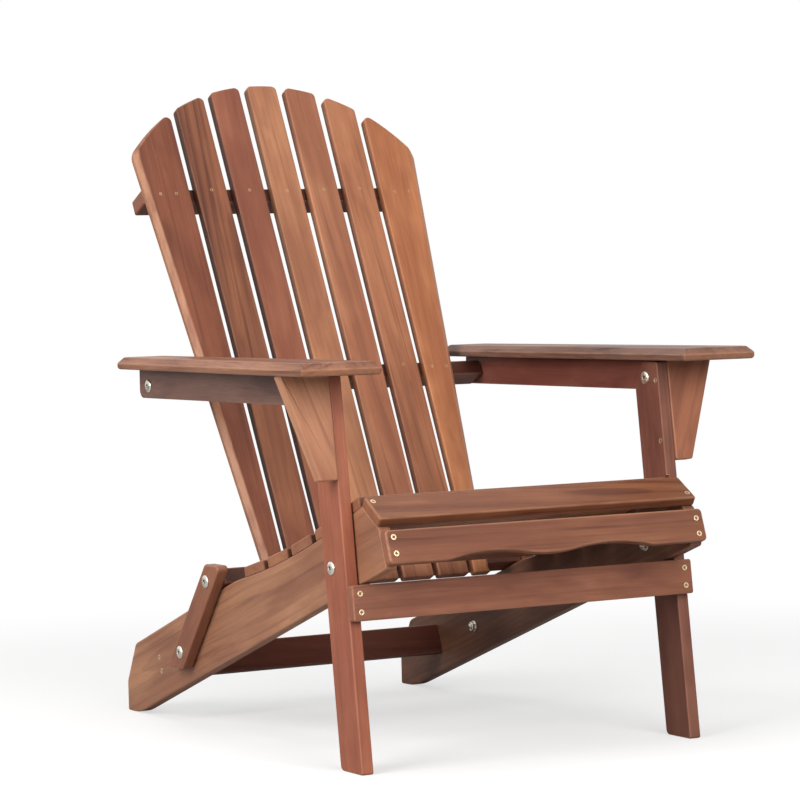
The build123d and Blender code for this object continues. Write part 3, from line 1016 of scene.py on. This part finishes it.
@dataclass(frozen=True)
class WoodScrew:
    """A countersunk head, flush with the board, with a cross-shaped recess.

    The recess is where a point's smaller distance from the two arms' lines is under half an arm's width
    and the larger one under the arm's length, both with eased edges.
    """

    radius: float = 4.0 * MM
    proud: float = 0.15 * MM
    sunk: float = 0.8 * MM
    arm_width: float = 0.55 * MM
    arm_length: float = 2.1 * MM
    arm_depth: float = 1.1 * MM
    eased: float = 0.25 * MM
    lip: float = 0.2 * MM
    shank_share: float = 0.6
    crown: tuple[float, float, int] = (0.82, 0.04, 9)
    around: int = 32

    def build(self, name: str, places: Array, ways: Array, rng: np.random.Generator) -> bpy.types.Object:
        """Make one piece of screw heads.

        Args:
            name: the piece's name.
            places: points on the boards' faces, as (n, 3).
            ways: outward unit directions, as (n, 3).
            rng: source of the angles the screws were driven to.

        Returns:
            The new piece.
        """
        angle = np.linspace(0, 2 * np.pi, self.around, endpoint=False)
        crown = np.linspace(*self.crown) * self.radius
        neck = (self.shank_share * self.radius, self.radius, self.radius - self.lip)
        reach = np.concatenate((neck, crown))[:, None]
        lift = np.concatenate(((-self.sunk, 0.0, self.proud), np.full(len(crown), self.proud)))[:, None]
        across, up = np.abs(reach * np.cos(angle)), np.abs(reach * np.sin(angle))
        near, far = np.minimum(across, up), np.maximum(across, up)
        arm = np.clip((self.arm_width + self.eased - near) / self.eased, 0, 1)
        arm = arm * np.clip((self.arm_length + self.eased - far) / self.eased, 0, 1)
        arm[:len(neck)] = 0.0
        # The arms' mask also sets the painted shade in the cross-shaped recess
        turning = Turning((), around=self.around)
        return turning.place(
            name, angle, np.broadcast_to(reach, arm.shape), lift - self.arm_depth * arm, arm,
            places, ways, rng.uniform(0, np.pi, len(places)))


@dataclass
class SubAssembly:
    """Boards and fasteners that are made together."""

    rng: np.random.Generator
    play: float = field(default=0.1 * MM, init=False)  # Room left beside a washer
    wooden: list[tuple[bpy.types.Object, Slot]] = field(default_factory=list, init=False)
    metal: list[tuple[bpy.types.Object, Plate]] = field(default_factory=list, init=False)

    def add_board(self, board: Board) -> Board:
        """Build a board, and return it for what is fixed to it."""
        self.wooden.append((board.build(self.rng), board.slot))
        return board

    def add_screws(self, name: str, body: Body, points: Screws,
                   screw: WoodScrew = WoodScrew(), plate: Plate = Plate.SCREW) -> None:
        """Build one piece of screws.

        Args:
            name: the piece's name.
            body: the body it rides on.
            points: places and outward directions.
            screw: the kind of screw.
            plate: its plating.
        """
        places = np.array([place for place, _ in points])
        ways = unit(np.array([way for _, way in points]))
        self.metal.append((settle(screw.build(name, places, ways, self.rng), body, Slot.METAL), plate))

    def add_bolts(self, bolts: BoltSet, face: float, gap: float) -> None:
        """Build a set of bolts and its washers.

        Args:
            bolts: the set.
            face: the face that the washers lie on, across the chair.
            gap: room that they fill.
        """
        pieces = (bolts.build(), bolts.washers(face, gap - self.play))
        self.metal += [(piece, Plate.BOLT) for piece in pieces]

    @staticmethod
    def end_screws(board: Board, inset: float, across: tuple[float, ...], way: float) -> Screws:
        """Places of the screws at both ends of a cross board.

        Args:
            board: the board they go through.
            inset: distance from its ends.
            across: offsets from the middle of its width.
            way: 1 on the face its through direction looks to, or -1 on the other.

        Returns:
            Places and outward directions.
        """
        ends = (inset - board.half[0], board.half[0] - inset)
        return [(board.at(end, offset, way * board.half[2]), way * board.axes[2])
                for end in ends for offset in across]

    @staticmethod
    def side_screws(face: float, spots: list[Array], way: float) -> Screws:
        """Places of the screws into the faces of a left and a right board.

        Args:
            face: where the right board's face is, across the chair.
            spots: points that have the screws' y and z.
            way: 1 if the heads look outwards, or -1 inwards.

        Returns:
            Places and outward directions.
        """
        return [(np.array((side * face, *spot[1:])), np.array((side * way, 0.0, 0.0)))
                for side in SIDES for spot in spots]

    def dress(self, finishes: dict[Slot | Plate, bpy.types.Material]) -> None:
        """Give every piece its material and report it.

        Args:
            finishes: materials by wood slot or plating.
        """
        for piece, finish in self.wooden + self.metal:
            piece.data.materials.append(finishes[finish])
            log.info("%s: %d faces", piece.name, len(piece.data.polygons))


@dataclass
class SeatFrame(SubAssembly):
    """Rails, seat slats, front slat, apron, rear stretcher and the bolts through the rails."""

    end_inset: float = 11.7 * MM
    slat_inset: float = 9.0 * MM
    apron_screws: tuple[float, ...] = (-11.0 * MM, 11.0 * MM)
    slat_screws: tuple[float, ...] = (-17.0 * MM, 17.0 * MM)
    stretcher_screws: tuple[float, ...] = (-10.5 * MM, 10.5 * MM)
    slat_tints: tuple[Colour, ...] = (
        (0.95, 0.95, 0.95), (1.02, 1.03, 0.98), (0.9, 0.88, 0.9), (1.05, 1.06, 1.0), (0.96, 0.96, 0.96),
    )
    wide_arris: float = 3.2 * MM
    rail_bolts: tuple[str, ...] = ("leg_pivot_bolts", "link_pivot_bolts")
    nut_flat: float = 6.5 * MM
    nut_hole: float = 4.0 * MM
    nut_soft: float = 0.7 * MM
    nut_washer: float = 1.4 * MM
    nut_turns: tuple[float, ...] = (0.2, 0.5, 0.9, 0.1)
    washer_radius: float = 9.0 * MM

    def build(self) -> None:
        """Make the boards, then the screws, bolts, washers and nuts."""
        # Painted light and shade: the left rail's tint brightens it as lit from the left, the right rail's
        # darkens it as in shade
        for node, tint in (("seat_rail_left", (1.32, 1.7, 1.65)), ("seat_rail_right", (0.56, 0.68, 0.7))):
            self.add_board(Board(node, Body.SEAT, Slot.FRAME, tint, figure=0.85))
        screws: Screws = []
        for number, tint in enumerate(self.slat_tints, start=1):
            # The seat slats' sides carry painted shade, as in the gaps between them
            slat = self.add_board(Board(f"seat_slat_{number}", Body.SEAT, Slot.SEAT, tint, painted_side_shade=0.55))
            screws += self.end_screws(slat, self.slat_inset, self.slat_screws, np.sign(slat.axes[2, 2]))
        front = self.add_board(Board(
            "front_slat", Body.SEAT, Slot.SEAT, (0.58, 0.52, 0.46), figure=1.3, radius=self.wide_arris))
        screws += self.end_screws(front, self.slat_inset, (0.0,), np.sign(front.axes[2, 2]))
        apron = self.add_board(Board(
            "apron", Body.SEAT, Slot.SEAT, (0.73, 0.72, 0.77), figure=1.2, radius=self.wide_arris))
        screws += self.end_screws(apron, self.end_inset, self.apron_screws, -np.sign(apron.axes[2, 1]))
        # Painted shade: the rear stretcher's tint darkens it as in the shade under the seat
        stretcher = self.add_board(Board("rear_stretcher", Body.SEAT, Slot.FRAME, (0.48, 0.42, 0.46)))
        rail_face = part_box("seat_rail_right")[1].x
        spots = [stretcher.at(0.0, offset, 0.0) for offset in self.stretcher_screws]
        screws += self.side_screws(rail_face, spots, 1.0)
        self.add_screws("seat_screws", Body.SEAT, screws)

        inner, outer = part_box("seat_rail_right")[0].x, rail_face
        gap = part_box("front_leg_right")[0].x - outer
        for node in self.rail_bolts:
            self.add_bolts(BoltSet(node, Body.SEAT), outer, gap)
        self.metal.append((self.nuts(inner), Plate.BOLT))

    def nuts(self, face: float) -> bpy.types.Object:
        """Make the nuts inside the rails, each with its washer.

        Args:
            face: the rails' inner face across the chair.

        Returns:
            The new piece, which stands for the nuts' node.
        """
        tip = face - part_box("pivot_nuts")[1].x
        height = face - np.abs(node_triangles("pivot_nuts")[..., 0]).min()
        hole, rim, soft = self.nut_hole, self.washer_radius, self.nut_soft
        base, flat = self.nut_washer + tip, self.nut_flat
        # The fourth value of a row is the mask of the painted shade in the nut's hole
        rows = (
            Row(hole, 0.0, 0.0, 1.0), Row(rim, 0.0), Row(rim, base - 0.2 * MM), Row(rim - 0.3 * MM, base),
            Row(flat + 0.1 * MM, base), Row(flat, base + 0.1 * MM, 1.0), Row(flat, height - soft, 1.0),
            Row(flat - 0.1 * MM, height - 0.3 * MM, 0.3), Row(flat - soft, height),
            Row(hole + 0.5 * MM, height), Row(hole, height - 0.5 * MM, 0.0, 1.0),
        )
        spots = [BoltSet(node, Body.SEAT).axis()[0] for node in self.rail_bolts]
        places = np.array([(side * face, *spot) for side in SIDES for spot in spots])
        ways = np.array([(-side, 0.0, 0.0) for side in SIDES for _ in spots])
        piece = Turning(rows, looped=True).build("pivot_nuts_turned", places, ways, np.array(self.nut_turns))
        return settle(piece, Body.SEAT, Slot.METAL, "pivot_nuts")


@dataclass
class FrontLegs(SubAssembly):
    """Legs, the stretcher on their front edges, the corbels and the arms' front bolts."""

    end_inset: float = 11.7 * MM
    stretcher_screws: tuple[float, ...] = (-12.3 * MM, 12.3 * MM)
    corbel_screws: tuple[float, ...] = (28.0 * MM, 113.0 * MM)

    def build(self) -> None:
        """Make the boards, the screws and the bolts."""
        # Painted shade: the right leg's tint darkens it as in the chair's shade, and its paler sides are a
        # painted sheen on its front edge
        self.add_board(Board("front_leg_left", Body.LEGS, Slot.FRAME, (1.18, 1.04, 1.0), figure=0.5))
        right = self.add_board(Board(
            "front_leg_right", Body.LEGS, Slot.FRAME, (0.62, 0.63, 0.74), figure=0.5, side_pale=0.5))
        stretcher = self.add_board(Board("front_stretcher", Body.LEGS, Slot.FRAME, (0.92, 0.97, 0.98)))
        front = -np.sign(stretcher.axes[2, 1])
        screws = self.end_screws(stretcher, self.end_inset, self.stretcher_screws, front)
        # Painted light: the left corbel's tint brightens it against the shade under the arm
        corbel = self.add_board(Board(
            "corbel_left", Body.LEGS, Slot.ARM, (1.2, 1.35, 1.5), figure=0.7, side_pale=1.4))
        self.add_board(Board(
            "corbel_right", Body.LEGS, Slot.ARM, (1.05, 1.05, 1.15), figure=0.7, side_pale=0.8))
        leg_inner = right.middle[0] - right.half[2]
        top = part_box("corbel_right")[1].z
        run = np.array((0.0, right.axes[0, 1], right.axes[0, 2])) / right.axes[0, 2]
        spots = [corbel.middle + run * (top - drop - corbel.middle[2]) for drop in self.corbel_screws]
        screws += self.side_screws(leg_inner, spots, -1.0)
        self.add_screws("leg_screws", Body.LEGS, screws)
        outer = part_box("front_leg_right")[1].x
        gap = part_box("arm_bar_right")[0].x - outer
        self.add_bolts(BoltSet("arm_front_bolts", Body.LEGS, outward=-1.0), outer, gap)


@dataclass
class RearLinks(SubAssembly):
    """The two links between the rails and the back."""

    def build(self) -> None:
        """Make the two boards."""
        for side, body, tint in (
            ("left", Body.LEFT_LINK, (0.88, 0.94, 0.92)), ("right", Body.RIGHT_LINK, (0.88, 0.9, 0.9)),
        ):
            self.add_board(
                Board(f"rear_link_{side}", body, Slot.FRAME, tint, figure=0.4, radius=3.0 * MM))


@dataclass
class Arms(SubAssembly):
    """Arms with a broad bevel round the top, and the bars under them."""

    def build(self) -> None:
        """Make the arms and bars."""
        # Painted shade: the left bar's tint darkens and cools it as in the shade under the arm, with a
        # painted reflection
        for side, body, tint, bar_tint in (
            ("left", Body.LEFT_ARM, (0.78, 0.86, 0.96), (0.6, 0.86, 1.15)),
            ("right", Body.RIGHT_ARM, (0.6, 0.86, 1.25), (0.65, 0.57, 0.68)),
        ):
            self.add_board(Board(f"arm_{side}", body, Slot.ARM, tint, figure=1.4, radius=5.0 * MM,
                                 arris=Arris.BEVELLED_TOP, bevel_radius=4.0 * MM))
            self.add_board(Board(f"arm_bar_{side}", body, Slot.FRAME, bar_tint, figure=0.5))


@dataclass(frozen=True)
class SlatLook:
    """One back slat's tint, how strong its figure is and how much shade is painted on its sides."""

    tint: Colour
    figure: float
    painted_side_shade: float = 0.0


# Slats 1 to 4 carry painted shade on their sides, as in the gaps between slats
BACK_SLATS = (
    SlatLook((0.52, 0.42, 0.44), 0.9, 0.5),
    SlatLook((0.63, 0.58, 0.58), 1.3, 0.4),
    SlatLook((0.8, 0.72, 0.8), 0.9, 0.6),
    SlatLook((1.22, 1.38, 1.42), 0.9, 0.3),
    SlatLook((1.08, 1.14, 1.2), 0.8),
    SlatLook((0.94, 0.95, 0.96), 1.2),
    SlatLook((1.14, 1.12, 1.0), 0.6),
)


@dataclass
class Backrest(SubAssembly):
    """Seven fanned slats on three battens, with the back's pivot bolts.

    The outer slats have a pale bevel on their outer front edge.
    """

    pair: float = 13.0 * MM
    outer_pale: float = 4.0
    bevel: float = 7.0 * MM
    screw: WoodScrew = WoodScrew(radius=2.5 * MM, arm_length=1.5 * MM, arm_width=0.4 * MM)

    def build(self) -> None:
        """Make the slats and battens, the screws through the slats, and the bolts."""
        # Painted shade: the battens' faces against the slats are darkened as seen through the gaps
        battens = [
            self.add_board(Board(node, Body.BACK, Slot.FRAME, (0.74, 0.7, 0.72), painted_upper_shade=0.6,
                                 radius=3.0 * MM, section=0.5, lay=Lay.EDGE))
            for node in ("lower_batten", "arm_batten", "top_batten")
        ]
        screws: Screws = []
        for number, look in enumerate(BACK_SLATS, start=1):
            way = {1: -1.0, len(BACK_SLATS): 1.0}.get(number, 0.0)
            slat = self.add_board(Board(
                f"back_slat_{number}", Body.BACK, Slot.BACK, look.tint, look.figure,
                side_pale=self.outer_pale * abs(way), painted_side_shade=look.painted_side_shade, radius=2.4 * MM,
                arris=Arris.BEVELLED_SIDE if way else Arris.ROUNDED, bevel=self.bevel, bevel_way=way))
            front = -np.sign(slat.axes[2, 1])
            offsets = (-self.pair, self.pair) if way else (0.0,)
            for batten in battens:
                level = (batten.middle - slat.middle) @ slat.axes[0]
                low, high = self.edges(slat, level)
                centre = (low + high) / 2
                for offset in offsets:
                    reach = min(self.pair, (high - low) / 4) * np.sign(offset)
                    place = slat.at(level, centre + reach, front * slat.half[2])
                    screws.append((place, front * slat.axes[2]))
        self.add_screws("back_screws", Body.BACK, screws, self.screw, Plate.DULL)
        for node, face, beyond in (
            ("back_pivot_bolts", "lower_batten", "rear_link_right"),
            ("arm_rear_bolts", "arm_batten", "arm_bar_right"),
        ):
            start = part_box(face)[1].x
            self.add_bolts(BoltSet(node, Body.BACK), start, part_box(beyond)[0].x - start)

    @staticmethod
    def edges(slat: Board, level: float) -> tuple[float, float]:
        """Where a slat's two long edges are at a level.

        Args:
            slat: the slat.
            level: place along it, from its middle.

        Returns:
            Lower and upper place across it.
        """
        points = slat.outline()
        after = np.roll(points, -1, axis=0)
        spans = (points[:, 0] - level) * (after[:, 0] - level) < 0
        start, end = points[spans], after[spans]
        share = (level - start[:, 0]) / (end[:, 0] - start[:, 0])
        across = start[:, 1] + share * (end[:, 1] - start[:, 1])
        return across.min(), across.max()


@dataclass(frozen=True)
class Lamp:
    """A square lamp: where it is, its side, its power in watts and its colour."""

    name: str
    place: Triple
    size: float
    watts: float
    colour: Colour = (1.0, 0.99, 0.97)


LAMPS = (
    Lamp("key_lamp", (-2.7, -0.8, 1.7), 1.8, 86.0),
    Lamp("front_lamp", (-0.1, -3.4, 1.8), 2.0, 98.0),
    Lamp("top_lamp", (-0.2, 0.2, 3.2), 2.6, 56.0, (1.0, 1.0, 1.0)),
)


@dataclass
class Studio:
    """White floor and surroundings, soft lights, and the camera at the photograph's viewing angle."""

    eye: Triple = (-2.2169, -4.0166, 0.6574)
    aim: Triple = (0.0139, 0.0138, 0.4748)
    roll: float = math.radians(-1.468)
    focal_pixels: float = 3162.0
    frame_pixels: float = 800.0
    sensor: float = 36.0
    floor_half: float = 14.0
    floor_colour: Colour = (0.93, 0.93, 0.93)
    floor_bounce: Colour = (0.45, 0.45, 0.45)
    ambient: float = 0.14
    floor_glow: float = 0.58
    shadow_reach: tuple[float, float] = (0.75, 1.9)

    def camera(self) -> None:
        """Place the camera: it looks from the eye to the aim, turned about its own line of sight."""
        data = bpy.data.cameras.new("viewpoint")
        data.sensor_width = self.sensor
        data.lens = self.sensor * self.focal_pixels / self.frame_pixels
        camera = put("viewpoint", data)
        sight = (Vector(self.aim) - Vector(self.eye)).to_track_quat("-Z", "Y").to_matrix().to_4x4()
        camera.matrix_world = Matrix.Translation(self.eye) @ sight @ Matrix.Rotation(self.roll, 4, "Z")
        bpy.context.scene.camera = camera

    def light(self, lamp: Lamp) -> None:
        """Add a lamp that looks at the middle of the chair.

        Args:
            lamp: its place, size, power and colour.
        """
        data = bpy.data.lights.new(lamp.name, "AREA")
        data.shape = "SQUARE"
        data.size = lamp.size
        data.energy = lamp.watts
        data.color = lamp.colour
        light = put(lamp.name, data)
        light.location = lamp.place
        light.rotation_euler = (Vector(self.aim) - Vector(lamp.place)).to_track_quat("-Z", "Y").to_euler()

    def surroundings(self) -> None:
        """Make the world white to the camera and in reflections, and a soft light to all else."""
        world = bpy.data.worlds.new("white_room")
        bpy.context.scene.world = world
        world.use_nodes = True
        graph = Graph(world.node_tree)
        sky = world.node_tree.nodes["Background"]
        path = graph.node("ShaderNodeLightPath").outputs
        seen = graph.math("MAXIMUM", path["Is Glossy Ray"], path["Is Transmission Ray"])
        seen = graph.math("MAXIMUM", path["Is Camera Ray"], seen)
        strength = graph.math("MULTIPLY_ADD", seen, 1.0 - self.ambient, self.ambient)
        graph.fill(sky, {"Color": rgba((1.0, 1.0, 1.0)), "Strength": strength})

    def floor(self) -> None:
        """Make the floor: it keeps the chair's shadow near by and is plain white to the camera far away."""
        half = self.floor_half
        corners = np.array(((-half, -half, 0.0), (half, -half, 0.0), (half, half, 0.0), (-half, half, 0.0)))
        mesh = bpy.data.meshes.new("studio_floor")
        mesh.from_pydata(corners, [], [(0, 1, 2, 3)])
        floor = put("studio_floor", mesh)

        paper, graph, shader = new_material("white_paper")
        camera_ray = graph.node("ShaderNodeLightPath").outputs["Is Camera Ray"]
        graph.fill(shader, {
            "Base Color": graph.mix(camera_ray, rgba(self.floor_bounce), rgba(self.floor_colour)),
            "Roughness": 0.9, "Specular IOR Level": 0.1,
        })
        place = graph.node("ShaderNodeTexCoord").outputs["Object"]
        far = graph.span(graph.length(place), *self.shadow_reach, self.floor_glow, 1.0)
        seen = graph.math("MULTIPLY", far, camera_ray)
        glow = graph.node("ShaderNodeEmission").outputs[0]
        either = graph.node("ShaderNodeMixShader", seen, shader.outputs[0], glow)
        graph.fill(paper.node_tree.nodes["Material Output"], {"Surface": either.outputs[0]})
        floor.data.materials.append(paper)

    def build(self) -> None:
        """Set the view transform and make the camera, the surroundings, the floor and the lamps."""
        bpy.context.scene.view_settings.view_transform = "Standard"
        self.camera()
        self.surroundings()
        self.floor()
        for lamp in LAMPS:
            self.light(lamp)


BROWN = StainedWood(
    Slot.SEAT.value, body=(0.262, 0.093, 0.046), pale=(0.40, 0.165, 0.082), dark=(0.10, 0.030, 0.018),
    edge_wear_and_highlight=(0.50, 0.255, 0.15), end_stain=(0.30, 0.125, 0.066),
)
MAROON = StainedWood(
    Slot.FRAME.value, body=(0.225, 0.075, 0.043), pale=(0.335, 0.128, 0.072), dark=(0.092, 0.026, 0.018),
    edge_wear_and_highlight=(0.44, 0.205, 0.13), end_stain=(0.27, 0.105, 0.060),
)
WOODS = {
    Slot.FRAME: MAROON,
    Slot.SEAT: BROWN,
    Slot.BACK: replace(BROWN, name=Slot.BACK.value, end_stain=(0.16, 0.055, 0.03), wear_and_highlight=0.14),
    Slot.ARM: replace(BROWN, name=Slot.ARM.value),
}
# The third colour of each plating is the painted shade in its recesses
METALS = {
    Plate.BOLT: PlatedMetal(
        Plate.BOLT.value, (0.8, 0.77, 0.69), (0.66, 0.62, 0.53), (0.07, 0.06, 0.05)),
    Plate.SCREW: PlatedMetal(
        Plate.SCREW.value, (0.7, 0.57, 0.36), (0.54, 0.42, 0.24), (0.04, 0.03, 0.02), 0.3, 0.5),
    Plate.DULL: PlatedMetal(
        Plate.DULL.value, (0.42, 0.3, 0.17), (0.3, 0.2, 0.1), (0.04, 0.03, 0.02), 0.4, 0.6),
}


def main() -> None:
    """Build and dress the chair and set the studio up."""
    logging.basicConfig(level=logging.INFO, format="%(name)s: %(message)s")
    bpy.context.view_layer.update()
    grain, arris = sawn_grain_group(), arris_wear_and_highlight_group()
    finishes = {slot: wood.material(grain, arris) for slot, wood in WOODS.items()}
    finishes |= {plate: metal.material() for plate, metal in METALS.items()}
    rng = np.random.default_rng(SEED)
    for assembly in (SeatFrame(rng), FrontLegs(rng), RearLinks(rng), Arms(rng), Backrest(rng)):
        assembly.build()
        assembly.dress(finishes)
    Studio().build()


if __name__ == "__main__":
    main()
